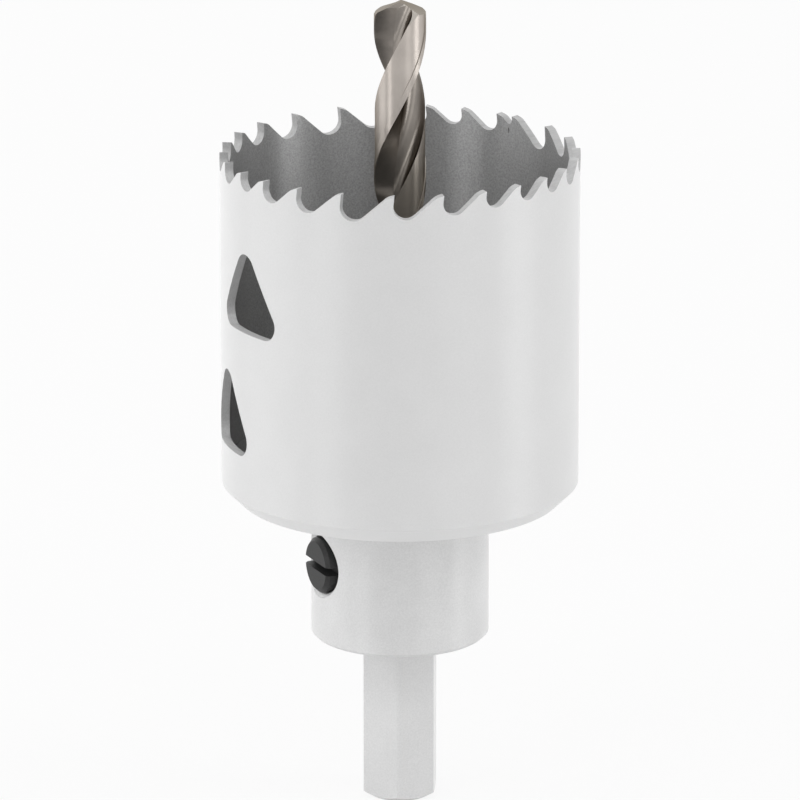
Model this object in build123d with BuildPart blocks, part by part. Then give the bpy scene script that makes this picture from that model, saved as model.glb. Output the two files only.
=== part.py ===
from build123d import *
import math
import os

# Hole saw with a fixed arbor, a pilot drill and a set screw, in millimetres.
# It stands on the end of its hex shank, with +Z along the tool axis towards the
# drill point. The front pair of chip slots faces -X, and the set screw nearly so.

# Shank and collar
shank_sides = 6
shank_width = 8.7
shank_length = 21.1
shank_turn = -4.1
shank_bevel = 0.45
shank_bevel_angle = 32.0
collar_diameter = 22.0
collar_height = 17.95
collar_bevel = 0.4

# Saw cup
cup_diameter = 44.0
cup_height = 43.7
wall = 1.05
base_thickness = 4.5
base_bevel = 1.95
base_gap = 0.05

# Spigot of the arbor, through the base disc
spigot_diameter = 15.8
spigot_rise = 0.8
spigot_bevel = 0.4
spigot_gap = 0.05

# Teeth, cut in a strip with a repeating pattern of pitches
tooth_pitches = (6.5, 6.0, 5.5, 5.0, 4.8, 4.8, 5.2, 4.8, 5.45, 5.9)
pattern_start_index = 6
first_tip_turn = 25.2
shortest_gap = 2.0
tooth_land = 0.9
tip_flat = 0.08
crest_round = 1.5
relief_angle = 14.0
back_angle = 40.0
rake_angle = 6.0
gullet_base = 0.57
gullet_gain = 0.165
gullet_share = 0.34
seam_slit_width = 0.16
seam_slit_height = 0.6
seam_slit_drop = 0.9

# Chip slots, rounded triangles in staggered pairs
slot_base = 14.34
slot_rise = 11.57
slot_corner = 1.9
slot_pairs = 2
upper_slot_turn = 181.7
upper_slot_height = 23.75
lower_slot_turn = 167.2
lower_slot_height = 7.85

# Pilot drill
drill_diameter = 6.35
drill_lead = 18.65
drill_gap = 0.05
bore_floor = 23.0
flute_lead = 37.5
flute_length = 40.0
flute_runout = 9.0
web = 1.2
web_reach = 0.6
land_angle = 84.0
margin_width = 0.8
body_relief = 0.1
point_angle = 135.0
point_turn = -12.0
point_relief = 12.0
corner_wear = 0.25
corner_wear_angle = 56.0
gash_angle = 44.0
gash_turn = 63.0
drill_flat_depth = 0.6
drill_flat_length = 11.0
drill_end_bevel = 0.5

# Set screw. Its hole runs on a little past the drill's flat, into the bore.
screw_turn = 174.8
screw_height = 9.97
screw_diameter = 6.9
screw_hole_diameter = 8.2
screw_proud = 0.44
screw_bevel = 0.45
screw_slot_width = 1.0
screw_slot_depth = 1.8
screw_hole_overrun = 0.2

# Levels and radii that follow from the sizes above
collar_top = shank_length + collar_height
rim_level = collar_top + base_bevel
base_top = collar_top + base_thickness
spigot_top = base_top + spigot_rise
tip_level = collar_top + cup_height
drill_tip = tip_level + drill_lead
screw_level = shank_length + screw_height
cup_radius = cup_diameter / 2
inner_radius = cup_radius - wall
collar_radius = collar_diameter / 2
spigot_radius = spigot_diameter / 2
drill_radius = drill_diameter / 2
bore_radius = drill_radius + drill_gap
flat_distance = drill_radius - drill_flat_depth
shank_corner = shank_width / 2 / math.cos(math.pi / shank_sides)
shank_end_radius = shank_width / 2 - shank_bevel
shank_bevel_rise = (shank_corner - shank_end_radius) * math.tan(math.radians(shank_bevel_angle))

# The wall is cut between two planes, inside and outside it also at a slot's ends
cut_margin = 1.5
inner_reach = inner_radius - cut_margin
outer_reach = cup_radius + cut_margin
clear_above = 1.0


def around_plane(turn, distance, level=0.0):
    """A plane that faces away from the tool axis, with its X along the wall."""
    angle = math.radians(turn)
    facing = Vector(math.cos(angle), math.sin(angle), 0)
    along = Vector(-math.sin(angle), math.cos(angle), 0)
    origin = facing * distance + Vector(0, 0, level)
    return Plane(origin=origin, x_dir=along, z_dir=facing)


def rolled(length, distance):
    """Where a length along the outside of the wall falls on a plane around it."""
    return distance * math.tan(length / cup_radius)


def tip_places():
    """Pitches from the strip's first tip on, the last one being the gap at the seam."""
    gaps = []
    left = math.pi * cup_diameter
    count = len(tooth_pitches)
    pitch = tooth_pitches[pattern_start_index]
    while left - pitch >= shortest_gap:
        gaps.append(pitch)
        left -= pitch
        pitch = tooth_pitches[(pattern_start_index + len(gaps)) % count]
    return gaps + [left]


def gullet_shape(pitch):
    """Radius and centre of the gullet that touches the rake face and the tooth back."""
    radius = min(gullet_base + gullet_gain * pitch, gullet_share * (pitch - tooth_land))
    rake = math.radians(rake_angle)
    back = math.radians(back_angle)
    land_end = pitch - tooth_land
    land_drop = tooth_land * math.tan(math.radians(relief_angle))
    lift = radius + math.sin(back) * (radius / math.cos(rake) - land_end)
    lift -= math.cos(back) * land_drop
    depth = lift / (math.cos(back) - math.sin(back) * math.tan(rake))
    across = radius / math.cos(rake) + depth * math.tan(rake)
    return radius, across, depth


def gullet_outline(pitch, distance):
    """The space between two tips, on a plane around the wall, as a closed line."""
    radius, across, depth = gullet_shape(pitch)
    rake = math.radians(rake_angle)
    back = math.radians(back_angle)
    middle = pitch / 2

    def spot(along, level):
        return (rolled(along - middle, distance), level)

    first_tip = spot(0, 0)
    rake_end = spot(across - radius * math.cos(rake), depth + radius * math.sin(rake))
    lowest = spot(across, depth - radius)
    back_start = spot(across + radius * math.sin(back), depth - radius * math.cos(back))
    land_drop = tooth_land * math.tan(math.radians(relief_angle))
    land_end = spot(pitch - tooth_land, -land_drop)
    next_tip = spot(pitch - tip_flat, 0)
    Line(first_tip, rake_end)
    ThreePointArc(rake_end, lowest, back_start)
    FilletPolyline(back_start, land_end, next_tip, radius=crest_round)
    Polyline(next_tip, (next_tip[0], clear_above), (first_tip[0], clear_above), first_tip)


def slot_outline(distance):
    """A chip slot on a plane around the wall, standing on its base."""
    half = rolled(slot_base / 2, distance)
    FilletPolyline((-half, 0), (half, 0), (0, slot_rise), radius=slot_corner, close=True)


tooth_gaps = tip_places()
seam_radius, seam_across, seam_depth = gullet_shape(tooth_gaps[-1])
seam_turn = first_tip_turn - math.degrees((tooth_gaps[-1] - seam_across) / cup_radius)
seam_level = tip_level + seam_depth - seam_radius - seam_slit_drop

with BuildPart() as saw_shell:
    with BuildSketch(Plane.XY.offset(rim_level)):
        Circle(cup_radius)
        Circle(inner_radius, mode=Mode.SUBTRACT)
    extrude(amount=tip_level - rim_level)
    tip_turn = first_tip_turn
    for gap in tooth_gaps:
        gap_turn = math.degrees(gap / cup_radius)
        for reach in (inner_reach, outer_reach):
            with BuildSketch(around_plane(tip_turn + gap_turn / 2, reach, tip_level)):
                with BuildLine():
                    gullet_outline(gap, reach)
                make_face()
        loft(ruled=True, mode=Mode.SUBTRACT)
        tip_turn += gap_turn
    for pair in range(slot_pairs):
        for turn, height in (
            (upper_slot_turn, upper_slot_height),
            (lower_slot_turn, lower_slot_height),
        ):
            for reach in (inner_reach, outer_reach):
                slot_turn = turn + pair * 360 / slot_pairs
                with BuildSketch(around_plane(slot_turn, reach, collar_top + height)):
                    with BuildLine():
                        slot_outline(reach)
                    make_face()
            loft(ruled=True, mode=Mode.SUBTRACT)
    with BuildSketch(around_plane(seam_turn, inner_reach, seam_level)):
        SlotOverall(seam_slit_height, seam_slit_width, rotation=90)
    extrude(amount=outer_reach - inner_reach, mode=Mode.SUBTRACT)

with BuildPart() as base_disc:
    with BuildSketch(Plane.XZ):
        with BuildLine():
            Polyline(
                (spigot_radius + spigot_gap, collar_top),
                (cup_radius - base_bevel, collar_top),
                (cup_radius, rim_level),
                (inner_radius - base_gap, rim_level),
                (inner_radius - base_gap, base_top),
                (spigot_radius + spigot_gap, base_top),
                close=True,
            )
        make_face()
    revolve(axis=Axis.Z)

with BuildPart() as arbor:
    with BuildSketch(Plane.XY.offset(shank_length)):
        Circle(collar_radius)
    extrude(amount=collar_height)
    chamfer(arbor.edges().sort_by(Axis.Z)[0], collar_bevel)
    with BuildSketch(Plane.XY.offset(collar_top)):
        Circle(spigot_radius)
    extrude(amount=spigot_top - collar_top)
    chamfer(arbor.edges().sort_by(Axis.Z)[-1], spigot_bevel)
    with BuildSketch(Plane.XY.offset(bore_floor)):
        Circle(bore_radius)
    extrude(amount=spigot_top - bore_floor, mode=Mode.SUBTRACT)
    with BuildSketch(around_plane(screw_turn, flat_distance - screw_hole_overrun, screw_level)):
        Circle(screw_hole_diameter / 2)
    extrude(amount=collar_radius, mode=Mode.SUBTRACT)
    # The shank's corners and flats end in one turned bevel
    with BuildSketch():
        RegularPolygon(shank_width / 2, shank_sides, major_radius=False, rotation=shank_turn)
    extrude(amount=shank_length)
    with BuildSketch(Plane.XZ):
        with BuildLine():
            Polyline(
                (shank_end_radius, 0),
                (shank_corner, 0),
                (shank_corner, shank_bevel_rise),
                close=True,
            )
        make_face()
    revolve(axis=Axis.Z, mode=Mode.SUBTRACT)

# Twist drill. Its section has two lips, each a straight line beside the web, and
# turns once around the axis for each length of flute_lead.
half_point = math.radians(point_angle / 2)
lip_drop = drill_radius / math.tan(half_point)
lip_level = drill_tip - lip_drop / 2
flute_start = drill_tip - flute_length
flute_turn = point_turn - 360 * (lip_level - flute_start) / flute_lead
lip_corner = math.degrees(math.asin(web / 2 / drill_radius))
margin_angle = math.degrees(margin_width / drill_radius)
body_radius = drill_radius - body_relief
section_rise = flute_length + clear_above
# Where the worn cone leaves the drill's side, below the outer corners of the lips
lip_lift = web / 2 * math.tan(math.radians(point_relief))
worn_level = drill_tip - lip_drop + lip_lift - corner_wear
worn_slope = math.tan(math.radians(corner_wear_angle))


def turned_plane(turn, level):
    """A level plane whose X axis is turned about the tool axis."""
    angle = math.radians(turn)
    return Plane(origin=(0, 0, level), x_dir=(math.cos(angle), math.sin(angle), 0))


def half_section(side):
    """One lip, its flute and the land behind the flute, for the side at 0 or 180."""
    outer = PolarLine((0, 0), drill_radius, side + lip_corner, mode=Mode.PRIVATE) @ 1
    toward = Vector(1, 0, 0).rotate(Axis.Z, side)
    beside = Vector(0, 1, 0).rotate(Axis.Z, side)
    inner = toward * web_reach + beside * (web / 2)
    heel_turn = side + 180 + lip_corner - land_angle
    heel = Vector(body_radius, 0, 0).rotate(Axis.Z, heel_turn)
    step_turn = side + 180 + lip_corner - margin_angle
    Line(outer, inner)
    TangentArc(inner, heel, tangent=toward * -1)
    CenterArc((0, 0), body_radius, heel_turn, land_angle - margin_angle)
    Line(
        Vector(body_radius, 0, 0).rotate(Axis.Z, step_turn),
        Vector(drill_radius, 0, 0).rotate(Axis.Z, step_turn),
    )
    CenterArc((0, 0), drill_radius, step_turn, margin_angle)


def flank_plane(turn):
    """The ground flank behind one lip. It falls outwards and away from the lip."""
    fall = math.tan(math.radians(90 - point_angle / 2))
    relief = math.tan(math.radians(point_relief))
    normal = Vector(fall, -relief, 1).rotate(Axis.Z, turn)
    return Plane(origin=(0, 0, drill_tip), z_dir=normal)


with BuildPart() as gash:
    # The thinning gash behind a lip, from beside the web to the heel
    with BuildSketch(turned_plane(point_turn, drill_tip - drill_diameter)):
        with Locations((0, -web / 2)):
            Rectangle(2 * drill_diameter, drill_diameter, align=(Align.CENTER, Align.MAX))
    extrude(amount=2 * drill_diameter)
    gash_side = Vector(1, 0, 0).rotate(Axis.Z, point_turn - gash_turn - 90)
    gash_normal = gash_side * math.tan(math.radians(gash_angle)) + Vector(0, 0, 1)
    gash_run = Vector(1, 0, 0).rotate(Axis.Z, point_turn - gash_turn)
    gash_fall = lip_drop / drill_radius
    split(
        bisect_by=Plane(origin=(0, 0, drill_tip), z_dir=gash_normal + gash_run * gash_fall),
        keep=Keep.TOP,
    )

with BuildPart() as pilot_drill:
    with BuildLine() as flute_axis:
        Line((0, 0, flute_start), (0, 0, flute_start + section_rise))
    with BuildLine() as flute_guide:
        Helix(flute_lead, section_rise, drill_radius, center=(0, 0, flute_start))
    with BuildSketch(turned_plane(flute_turn, flute_start)):
        with BuildLine():
            half_section(0)
            half_section(180)
        make_face()
    sweep(path=flute_axis.edge(), binormal=flute_guide.edge())
    split(bisect_by=flank_plane(point_turn), keep=Keep.BOTTOM)
    split(bisect_by=flank_plane(point_turn + 180), keep=Keep.BOTTOM)
    with PolarLocations(0, 2):
        add(gash.part, mode=Mode.SUBTRACT)
    # The outer corners of the lips are worn off
    with BuildSketch(Plane.XZ):
        with BuildLine():
            worn_inside = drill_radius - 2 * corner_wear
            worn_outside = drill_radius + corner_wear
            worn_top = worn_level + 2 * corner_wear * worn_slope
            Polyline(
                (worn_inside, worn_top),
                (worn_outside, worn_level - corner_wear * worn_slope),
                (worn_outside, worn_top),
                close=True,
            )
        make_face()
    revolve(axis=Axis.Z, mode=Mode.SUBTRACT)
    with BuildSketch(Plane.XZ):
        with BuildLine():
            Line((0, bore_floor), (drill_radius, bore_floor))
            Line((drill_radius, bore_floor), (drill_radius, flute_start))
            run_end = (web / 2, flute_start + flute_runout)
            TangentArc(run_end, (drill_radius, flute_start), tangent=(0, -1))
            Line(run_end, (0, flute_start + flute_runout))
            Line((0, flute_start + flute_runout), (0, bore_floor))
        make_face()
    revolve(axis=Axis.Z)
    with BuildSketch(around_plane(screw_turn, flat_distance, screw_level)):
        Rectangle(drill_diameter, drill_flat_length)
    extrude(amount=drill_radius, mode=Mode.SUBTRACT)
    chamfer(
        pilot_drill.edges().group_by(Axis.Z)[0].filter_by(GeomType.CIRCLE), drill_end_bevel
    )

with BuildPart() as set_screw:
    screw_face = collar_radius + screw_proud
    with BuildSketch(around_plane(screw_turn, flat_distance, screw_level)):
        Circle(screw_diameter / 2)
    extrude(amount=screw_face - flat_distance)
    chamfer(set_screw.edges().filter_by(GeomType.CIRCLE), screw_bevel)
    with BuildSketch(around_plane(screw_turn, screw_face, screw_level)):
        Rectangle(screw_diameter, screw_slot_width)
    extrude(amount=-screw_slot_depth, mode=Mode.SUBTRACT)

os.makedirs("parts", exist_ok=True)
saw_shell.part.label = "saw_shell"
export_step(saw_shell.part, "parts/saw_shell.step")
base_disc.part.label = "base_disc"
export_step(base_disc.part, "parts/base_disc.step")
arbor.part.label = "arbor"
export_step(arbor.part, "parts/arbor.step")
pilot_drill.part.label = "pilot_drill"
export_step(pilot_drill.part, "parts/pilot_drill.step")
set_screw.part.label = "set_screw"
export_step(set_screw.part, "parts/set_screw.step")
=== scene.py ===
import math

import bpy
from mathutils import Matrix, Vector


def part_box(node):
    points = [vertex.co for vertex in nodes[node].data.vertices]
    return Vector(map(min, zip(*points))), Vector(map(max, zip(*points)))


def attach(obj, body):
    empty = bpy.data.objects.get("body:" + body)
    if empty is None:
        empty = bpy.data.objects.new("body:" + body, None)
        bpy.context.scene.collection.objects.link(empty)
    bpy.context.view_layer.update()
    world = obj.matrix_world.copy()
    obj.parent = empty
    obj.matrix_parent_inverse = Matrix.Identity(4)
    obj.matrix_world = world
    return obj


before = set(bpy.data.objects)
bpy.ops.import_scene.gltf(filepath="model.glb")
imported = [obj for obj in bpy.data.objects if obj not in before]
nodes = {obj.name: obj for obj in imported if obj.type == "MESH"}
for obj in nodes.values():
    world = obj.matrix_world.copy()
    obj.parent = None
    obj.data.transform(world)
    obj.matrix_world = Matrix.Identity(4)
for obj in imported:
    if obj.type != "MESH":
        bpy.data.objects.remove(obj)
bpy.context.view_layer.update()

# Camera, fitted to the outlines of the cup, the collar and the shank.
# Angles are in degrees, lengths in metres and the lens in millimetres.
camera_azimuth = -30.0
camera_elevation = 16.86
camera_distance = 0.9525
camera_lens = 348.6
camera_near = 0.01
camera_far = 20
aim_height = 0.0509

# Each lamp: name, turn from the camera, elevation, distance, width and height, radiance
softboxes = [
    ("top_box", 0, 89, 1.6, (2.0, 2.0), 0.5),
    ("front_top_box", 0, 55, 1.6, (1.6, 1.0), 0.6),
    ("left_box", -48, 20, 1.4, (0.42, 1.6), 2.1),
    ("left_back_box", -90, 20, 1.4, (1.0, 1.6), 1.5),
    ("right_box", 82, 20, 1.4, (0.54, 1.6), 3.0),
    ("right_front_box", 38, 20, 1.4, (0.56, 1.6), 0.75),
    ("back_box", -166, 20, 1.4, (2.4, 1.6), 0.75),
]
room_light = 0.27
floor_reach = 3.0
floor_grey = 0.85
floor_roughness = 0.9
floor_whitening = 0.87

# Darkest and lightest grey of each painted or plain finish
cup_greys = (0.725, 0.765)
# The base disc's paint is lighter than the cup's: painted light for the light that the floor throws
# up onto its bevel
base_greys_painted_light = (0.80, 0.83)
arbor_greys = (0.68, 0.78)
cut_greys = (0.42, 0.52)
inside_greys = (0.28, 0.43)
screw_greys = (0.013, 0.024)

# Grains: cells per metre, detail, roughness of the noise
paint_grain = (4500.0, 3.0, 0.7)
paint_cloud = (180.0, 2.0, 0.5)
cut_grain = (4000.0, 2.0, 0.5)
ring_grain = (9000.0, 3.0, 0.7)
drill_cloud = (260.0, 3.0, 0.5)
screw_grain = (7000.0, 3.0, 0.6)
# Grain that is drawn out to lines through the cup's wall, and round the tool axis
through_wall = (1, 0.1, 1)
round_axis = (0.06, 1, 1)
# Values of a noise between which a finish goes from dark to light
narrow = (0.35, 0.65)
wide = (0.3, 0.7)
# Share of the cloud in the paint's shade, with the grain for the rest
cloud_share = 0.3

# Gloss, and the depth and strength of the grain's relief
painted_gloss = {"Anisotropic": 0.95, "Specular_IOR_Level": 0.9}
cup_roughness = 0.42
turned_roughness = 0.33
inside_roughness = 0.36
inside_metallic = 0.5
painted_relief = (0.00002, 0.35)
drill_gloss = {"Anisotropic": 0.88, "Specular_Tint": (0.4, 0.38, 0.35, 1)}
drill_roughness = (0.29, 0.36)
drill_relief = (0.00001, 0.12)
screw_gloss = {"Specular_IOR_Level": 0.35}
screw_roughness = 0.5
screw_relief = (0.00002, 0.5)

# How much a face looks away from the axis, between the strip's cut faces and the cup's outside
side_low, side_high = 0.55, 0.65
# How much a face looks up, between the drill's sides and the corners near the rim or the flanks,
# both painted darker as shade
corner_up = (0.2, 0.3)
flank_up = (0.5, 0.6)
# Heights between the paint and the bare top faces of the disc and the arbor
bare_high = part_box("base_disc")[1][2] - 0.0001
bare_low = bare_high - 0.0001

# Drill: darkest and lightest colour of the lands and of the flutes, the colour of both in the
# painted shade low inside the cup, and the colour of the point's flanks
land_colours = ((0.45, 0.41, 0.376), (0.54, 0.495, 0.455))
# The flutes' darker colours are partly their ground finish and partly painted shade for the dark
# reflections in their hollows
flute_colours_with_shade = ((0.20, 0.182, 0.165), (0.27, 0.245, 0.22))
# Painted shade: the lands and flutes go darker low inside the cup, where the cup's wall shades the
# drill
land_in_cup_shade = (0.29, 0.262, 0.228)
flute_in_cup_shade = (0.19, 0.172, 0.152)
# Painted shade: the point's up-facing flanks get a darker grey for the shade they show
flank_shade_colour = (0.30, 0.28, 0.255)
# The painted shade is full up to the lower height and gone from the upper one
cup_shade_low, cup_shade_high = 0.0805, 0.0865
# The body of the lands lies just under the drill's full radius
drill_low, drill_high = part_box("pilot_drill")
land_radius = (drill_high[0] - drill_low[0]) / 2 - 0.00012
# Radii between the flutes and the lands, and between the lips and their corners, which the flanks'
# painted shade covers
land_radii = (land_radius - 0.00004, land_radius)
corner_radii = (land_radius - 0.0002, land_radius - 0.00015)
# Rise of the flutes in one turn
flute_lead = 0.0375

# Tapped hole of the set screw, in the collar. Its countersink starts at the mouth's depth.
screw_turn = math.radians(174.8)
hole_radius = 0.00408
crest_radius = 0.00352
thread_depth = 0.0003
thread_pitch = 0.001
thread_length = 0.003
mouth_depth = 0.00003
countersink = 0.0004
turn_steps = 96
depth_steps = 30

# Sockets of the mix node that carry colours
mix_a, mix_b, mix_result = 6, 7, 2


def grey(value):
    return (value, value, value)


class Tree:
    """Short calls for building one material's nodes."""

    def __init__(self, name):
        self.material = bpy.data.materials.new(name)
        self.material.use_nodes = True
        self.tree = self.material.node_tree
        self.tree.nodes.clear()
        self.out = self.tree.nodes.new("ShaderNodeOutputMaterial")

    def link(self, value, socket):
        """Feeds a socket from another one, or sets it to a plain value or a colour."""
        if isinstance(value, bpy.types.NodeSocket):
            self.tree.links.new(value, socket)
        elif value is not None:
            socket.default_value = (*value, 1) if socket.type == "RGBA" else value

    def math(self, operation, a, b=None):
        made = self.tree.nodes.new("ShaderNodeMath")
        made.operation = operation
        self.link(a, made.inputs[0])
        self.link(b, made.inputs[1])
        return made.outputs[0]

    def vector(self, operation, a, b=None):
        made = self.tree.nodes.new("ShaderNodeVectorMath")
        made.operation = operation
        self.link(a, made.inputs[0])
        self.link(b, made.inputs[1])
        return made.outputs["Value" if operation in ("DOT_PRODUCT", "LENGTH") else "Vector"]

    def noise(self, place, grain):
        made = self.tree.nodes.new("ShaderNodeTexNoise")
        self.link(place, made.inputs["Vector"])
        for name, value in zip(("Scale", "Detail", "Roughness"), grain):
            made.inputs[name].default_value = value
        return made.outputs["Fac"]

    def spread(self, value, low, high, to_low=0.0, to_high=1.0):
        """Takes low to to_low and high to to_high, with no values outside those two."""
        made = self.tree.nodes.new("ShaderNodeMapRange")
        for socket, v in zip(made.inputs, (value, low, high, to_low, to_high)):
            self.link(v, socket)
        return made.outputs[0]

    def mix(self, factor, a, b):
        made = self.tree.nodes.new("ShaderNodeMix")
        made.data_type = "RGBA"
        self.link(factor, made.inputs[0])
        self.link(a, made.inputs[mix_a])
        self.link(b, made.inputs[mix_b])
        return made.outputs[mix_result]

    def bump(self, height, distance, strength):
        made = self.tree.nodes.new("ShaderNodeBump")
        self.link(height, made.inputs["Height"])
        made.inputs["Distance"].default_value = distance
        made.inputs["Strength"].default_value = strength
        return made.outputs[0]

    def place(self):
        return self.tree.nodes.new("ShaderNodeNewGeometry").outputs["Position"]

    def rolled_place(self):
        """Position unrolled round the tool axis: turn times radius, radius, height."""
        parts = self.tree.nodes.new("ShaderNodeSeparateXYZ")
        self.link(self.place(), parts.inputs[0])
        x, y, z = parts.outputs
        radius = self.radius()
        joined = self.tree.nodes.new("ShaderNodeCombineXYZ")
        self.link(self.math("MULTIPLY", self.math("ARCTAN2", y, x), radius), joined.inputs[0])
        self.link(radius, joined.inputs[1])
        self.link(z, joined.inputs[2])
        return joined.outputs[0]

    def away(self):
        """The vector from the tool axis straight out to the place."""
        return self.vector("MULTIPLY", self.place(), (1, 1, 0))

    def radius(self):
        """Distance from the tool axis."""
        return self.vector("LENGTH", self.away())

    def height(self):
        return self.vector("DOT_PRODUCT", self.place(), (0, 0, 1))

    def true_normal(self):
        return self.tree.nodes.new("ShaderNodeNewGeometry").outputs["True Normal"]

    def upwardness(self):
        """1 on a face that looks up the tool axis, 0 on one along it."""
        return self.vector("DOT_PRODUCT", self.true_normal(), (0, 0, 1))

    def outwardness(self):
        """1 on a face that looks away from the tool axis, -1 towards it, 0 along it."""
        return self.vector("DOT_PRODUCT", self.true_normal(), self.vector("NORMALIZE", self.away()))

    def across_lines(self):
        """The direction across fine lines that run round the tool axis. It stretches the gloss."""
        around = self.vector("NORMALIZE", self.vector("CROSS_PRODUCT", (0, 0, 1), self.place()))
        across = self.vector("CROSS_PRODUCT", self.true_normal(), around)
        never_zero = (0, 0, 0.01)
        return self.vector("ADD", across, never_zero)

    def along_flute(self, lead):
        """The direction of a right-hand helix round the tool axis with the given lead."""
        around = self.vector("CROSS_PRODUCT", (0, 0, 2 * math.pi / lead), self.place())
        return self.vector("ADD", around, (0, 0, 1))

    def shader(self, colour, roughness, metallic, normal, stretch=None, **settings):
        made = self.tree.nodes.new("ShaderNodeBsdfPrincipled")
        self.link(colour, made.inputs["Base Color"])
        self.link(roughness, made.inputs["Roughness"])
        self.link(metallic, made.inputs["Metallic"])
        self.link(normal, made.inputs["Normal"])
        self.link(stretch or self.across_lines(), made.inputs["Tangent"])
        for name, value in settings.items():
            made.inputs[name.replace("_", " ")].default_value = value
        self.tree.links.new(made.outputs[0], self.out.inputs[0])
        return self.material


def shade(t, noise, values, greys):
    """The dark grey where the noise has the low value, and the light grey at the high one."""
    dark, light = greys
    return t.mix(t.spread(noise, *values), grey(dark), grey(light))


def satin_paint(t, grain, greys):
    """Thin satin paint over turned metal, with a fine grain and a faint cloud."""
    fine = t.math("MULTIPLY", grain, 1 - cloud_share)
    cloud = t.math("MULTIPLY", t.noise(t.place(), paint_cloud), cloud_share)
    return shade(t, t.math("ADD", fine, cloud), narrow, greys)


def painted_shader(t, paint, inside, grain, roughness):
    """The paint, with dull rolled steel where inside is 1."""
    colour = t.mix(inside, paint, shade(t, grain, narrow, inside_greys))
    rough = t.spread(inside, 0.0, 1.0, roughness, inside_roughness)
    metal = t.math("MULTIPLY", inside, inside_metallic)
    return t.shader(colour, rough, metal, t.bump(grain, *painted_relief), **painted_gloss)


def cup_finish():
    """White paint outside, dull steel inside, bright steel where the strip is cut."""
    t = Tree("cup_paint")
    outward = t.outwardness()
    outside = t.spread(outward, side_low, side_high)
    inside = t.spread(outward, -side_high, -side_low, 1.0, 0.0)
    grain = t.noise(t.place(), paint_grain)
    lines = t.noise(t.vector("MULTIPLY", t.rolled_place(), through_wall), cut_grain)
    cut = shade(t, lines, wide, cut_greys)
    paint = t.mix(outside, cut, satin_paint(t, grain, cup_greys))
    return painted_shader(t, paint, inside, grain, cup_roughness)


def turned_finish(name, greys):
    """White paint on a turned piece, with dull steel on what looks up inside the cup."""
    t = Tree(name)
    inside = t.spread(t.height(), bare_low, bare_high)
    grain = t.noise(t.place(), paint_grain)
    return painted_shader(t, satin_paint(t, grain, greys), inside, grain, turned_roughness)


def drill_finish():
    """Ground tool steel: bright lands, flutes darker partly by painted shade, flanks at the point
    painted a darker grey as shade.
    """
    t = Tree("drill_steel")
    cloudy = t.spread(t.noise(t.place(), drill_cloud), *wide)
    # Painted shade: the drill goes darker low inside the cup, where the cup's wall shades it
    in_cup_shade = t.spread(t.height(), cup_shade_low, cup_shade_high, 1.0, 0.0)
    land = t.mix(in_cup_shade, t.mix(cloudy, *land_colours), land_in_cup_shade)
    flute = t.mix(in_cup_shade, t.mix(cloudy, *flute_colours_with_shade), flute_in_cup_shade)

    radius = t.radius()
    upward = t.upwardness()
    on_land = t.spread(radius, *land_radii)
    near_rim = t.spread(radius, *corner_radii)
    # Painted shade: the corners near the rim and the up-facing flanks take the darker flank colour
    shaded_corner = t.math("MULTIPLY", t.spread(upward, *corner_up), near_rim)
    on_flank = t.math("MAXIMUM", t.spread(upward, *flank_up), shaded_corner)
    colour = t.mix(on_flank, t.mix(on_land, flute, land), flank_shade_colour)

    rings = t.noise(t.vector("MULTIPLY", t.rolled_place(), round_axis), ring_grain)
    rough = t.spread(rings, *wide, *drill_roughness)
    normal = t.bump(rings, *drill_relief)
    stretch = t.mix(on_land, t.along_flute(flute_lead), t.across_lines())
    return t.shader(colour, rough, 1.0, normal, stretch, **drill_gloss)


def screw_finish():
    """Blackened steel with a dull, fine grain."""
    t = Tree("black_steel")
    grain = t.noise(t.place(), screw_grain)
    colour = shade(t, grain, wide, screw_greys)
    return t.shader(colour, screw_roughness, 0.0, t.bump(grain, *screw_relief), **screw_gloss)


def add_screw_thread(material):
    """The thread that the set screw turns in, with a countersink at its mouth."""
    low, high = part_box("set_screw")
    level = (low[2] + high[2]) / 2
    low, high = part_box("arbor")
    collar_radius = (high[0] - low[0]) / 2
    axis = Vector((math.cos(screw_turn), math.sin(screw_turn), 0))
    across = Vector((-math.sin(screw_turn), math.cos(screw_turn), 0))

    def ring(radius_at, depth):
        """A closed row of points that follows the collar's round surface at the depth."""
        points = []
        for i in range(turn_steps):
            turn = 2 * math.pi * i / turn_steps
            radius = radius_at(turn)
            side, rise = radius * math.cos(turn), radius * math.sin(turn)
            surface = math.sqrt(collar_radius**2 - side**2)
            points.append(axis * (surface - depth) + across * side + Vector((0, 0, level + rise)))
        return points

    def plain(turn):
        return hole_radius

    def threaded(depth):
        def radius_at(turn):
            phase = (depth / thread_pitch - turn / (2 * math.pi)) % 1
            return crest_radius + thread_depth * abs(2 * phase - 1)
        return radius_at

    rings = [ring(plain, mouth_depth)]
    for k in range(depth_steps + 1):
        depth = thread_length * k / depth_steps
        rings.append(ring(threaded(depth), countersink + depth))
    rings.append(ring(plain, countersink + thread_length))
    points = [point for one in rings for point in one]
    faces = []
    for row in range(len(rings)):
        here, after = row * turn_steps, (row + 1) % len(rings) * turn_steps
        for i in range(turn_steps):
            j = (i + 1) % turn_steps
            faces.append((here + i, here + j, after + j, after + i))
    mesh = bpy.data.meshes.new("screw_hole_thread")
    mesh.from_pydata(points, [], faces)
    mesh.materials.append(material)
    piece = bpy.data.objects.new("screw_hole_thread", mesh)
    bpy.context.scene.collection.objects.link(piece)
    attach(piece, "root")


def direction(azimuth, elevation):
    """From the object towards a camera or lamp, with azimuth 0 on the -Y side."""
    a, e = math.radians(azimuth), math.radians(elevation)
    return Vector((math.sin(a) * math.cos(e), -math.cos(a) * math.cos(e), math.sin(e)))


def aim(name, data, away, distance):
    """Adds a camera or lamp that looks at the tool from the given side."""
    added = bpy.data.objects.new(name, data)
    bpy.context.scene.collection.objects.link(added)
    added.location = Vector((0, 0, aim_height)) + away * distance
    added.rotation_euler = (-away).to_track_quat("-Z", "Y").to_euler()
    return added


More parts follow.
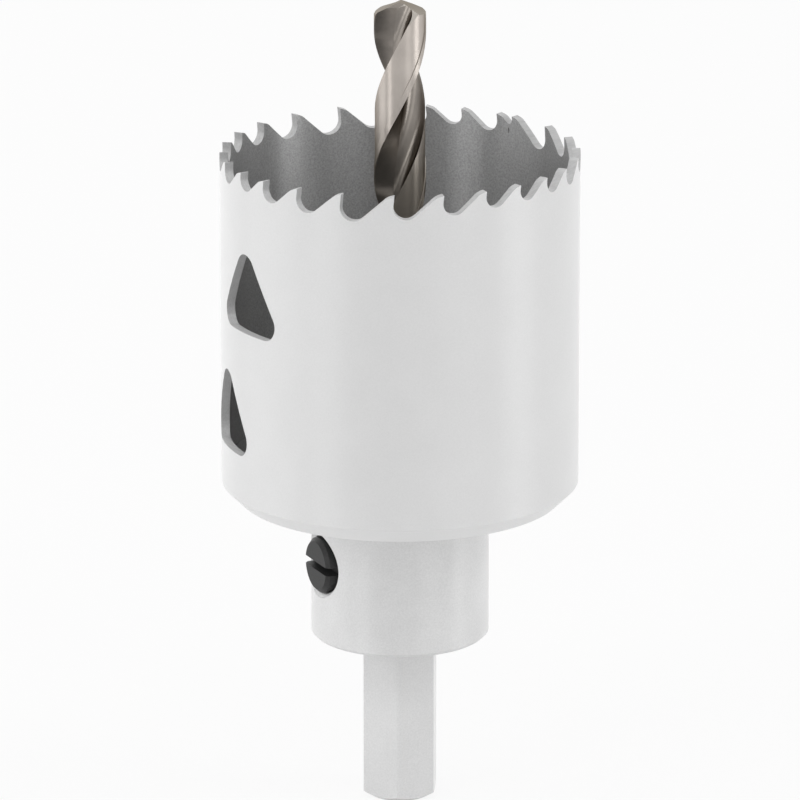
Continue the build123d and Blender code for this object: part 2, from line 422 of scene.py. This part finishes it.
def add_camera():
    data = bpy.data.cameras.new("camera")
    data.lens = camera_lens
    data.clip_start = camera_near
    data.clip_end = camera_far
    away = direction(camera_azimuth, camera_elevation)
    bpy.context.scene.camera = aim("camera", data, away, camera_distance)


def add_softbox(name, turn, elevation, distance, size, radiance):
    """A rectangular lamp that faces the tool. A radiance of 1 shows as white."""
    data = bpy.data.lights.new(name, "AREA")
    data.shape = "RECTANGLE"
    data.size, data.size_y = size
    data.energy = radiance * math.pi * size[0] * size[1]
    aim(name, data, direction(camera_azimuth + turn, elevation), distance)


def seen_share(tree, share):
    """A factor: share for what the camera sees, also in gloss or glass, and 0 elsewhere."""
    path = tree.nodes.new("ShaderNodeLightPath")
    factor = path.outputs["Is Camera Ray"]
    for name in ("Is Glossy Ray", "Is Transmission Ray"):
        either = tree.nodes.new("ShaderNodeMath")
        either.operation = "MAXIMUM"
        tree.links.new(factor, either.inputs[0])
        tree.links.new(path.outputs[name], either.inputs[1])
        factor = either.outputs[0]
    made = tree.nodes.new("ShaderNodeMath")
    made.operation = "MULTIPLY"
    made.inputs[1].default_value = share
    tree.links.new(factor, made.inputs[0])
    return made.outputs[0]


def add_floor():
    """A pale floor, which the camera sees as almost white."""
    reach = floor_reach
    mesh = bpy.data.meshes.new("floor")
    corners = [(-reach, -reach, 0), (reach, -reach, 0), (reach, reach, 0), (-reach, reach, 0)]
    mesh.from_pydata(corners, [], [(0, 1, 2, 3)])
    floor = bpy.data.objects.new("floor", mesh)
    bpy.context.scene.collection.objects.link(floor)
    material = bpy.data.materials.new("floor")
    material.use_nodes = True
    tree = material.node_tree
    shader = tree.nodes["Principled BSDF"]
    shader.inputs["Base Color"].default_value = (*grey(floor_grey), 1)
    shader.inputs["Roughness"].default_value = floor_roughness
    white = tree.nodes.new("ShaderNodeEmission")
    blend = tree.nodes.new("ShaderNodeMixShader")
    tree.links.new(seen_share(tree, floor_whitening), blend.inputs[0])
    tree.links.new(shader.outputs[0], blend.inputs[1])
    tree.links.new(white.outputs[0], blend.inputs[2])
    tree.links.new(blend.outputs[0], tree.nodes["Material Output"].inputs[0])
    mesh.materials.append(material)


def light_world():
    """An even pale room, which the camera sees as white."""
    world = bpy.data.worlds.new("studio")
    bpy.context.scene.world = world
    world.use_nodes = True
    tree = world.node_tree
    background = tree.nodes["Background"]
    background.inputs["Color"].default_value = (1, 1, 1, 1)
    level = tree.nodes.new("ShaderNodeMapRange")
    level.inputs["To Min"].default_value = room_light
    level.inputs["To Max"].default_value = 1.0
    tree.links.new(seen_share(tree, 1.0), level.inputs["Value"])
    tree.links.new(level.outputs[0], background.inputs["Strength"])


finishes = {
    "saw_shell": cup_finish(),
    "base_disc": turned_finish("base_paint", base_greys_painted_light),
    "arbor": turned_finish("arbor_paint", arbor_greys),
    "pilot_drill": drill_finish(),
    "set_screw": screw_finish(),
}
for name, material in finishes.items():
    nodes[name].data.materials.clear()
    nodes[name].data.materials.append(material)

add_screw_thread(finishes["arbor"])
add_camera()
light_world()
for softbox in softboxes:
    add_softbox(*softbox)
add_floor()
bpy.context.scene.view_settings.view_transform = "Standard"
